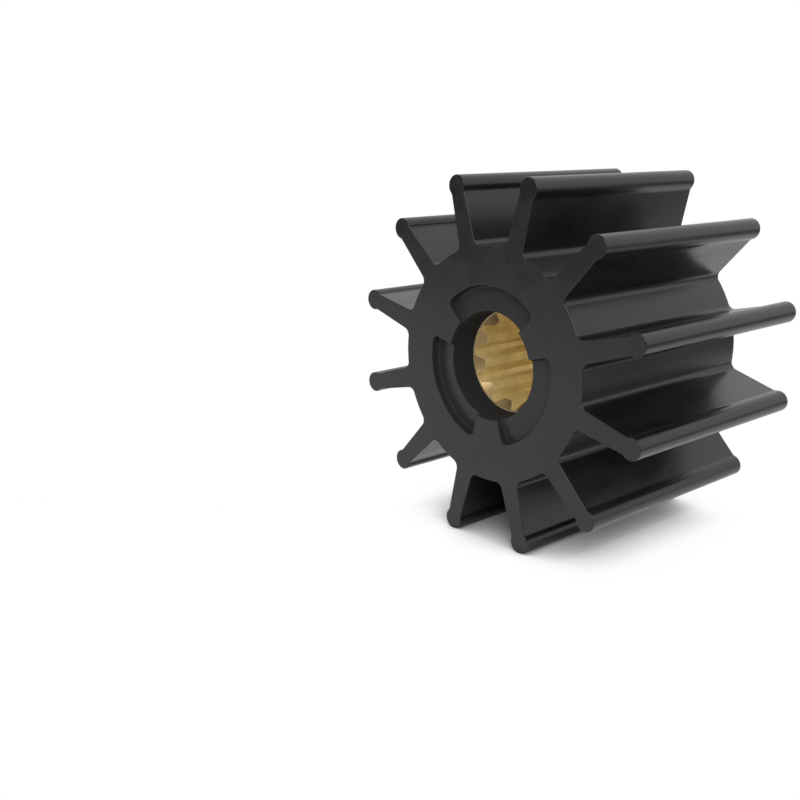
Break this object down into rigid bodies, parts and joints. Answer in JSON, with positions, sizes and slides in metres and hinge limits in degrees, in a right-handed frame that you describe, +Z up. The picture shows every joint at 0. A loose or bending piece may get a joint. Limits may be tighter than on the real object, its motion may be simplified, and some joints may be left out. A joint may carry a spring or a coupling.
{
  "type": "rubber pump impeller",
  "caption": "Flexible-vane rubber impeller for a marine water pump, with round bulb tips and a splined brass insert bonded in its hub.",
  "frame": {"origin": "on the shaft axis, halfway through the width", "axes": "+Y along the shaft axis towards the plain back face, +Z up, with two neighbouring vanes pointing down"},
  "size_m": [0.0922, 0.0636, 0.0922],
  "materials": {
    "rubber": "matte",
    "brass": "turned"
  },
  "bodies": {
    "root": {"rubber_body": "rubber", "splined_insert": "brass"}
  },
  "joints": []
}
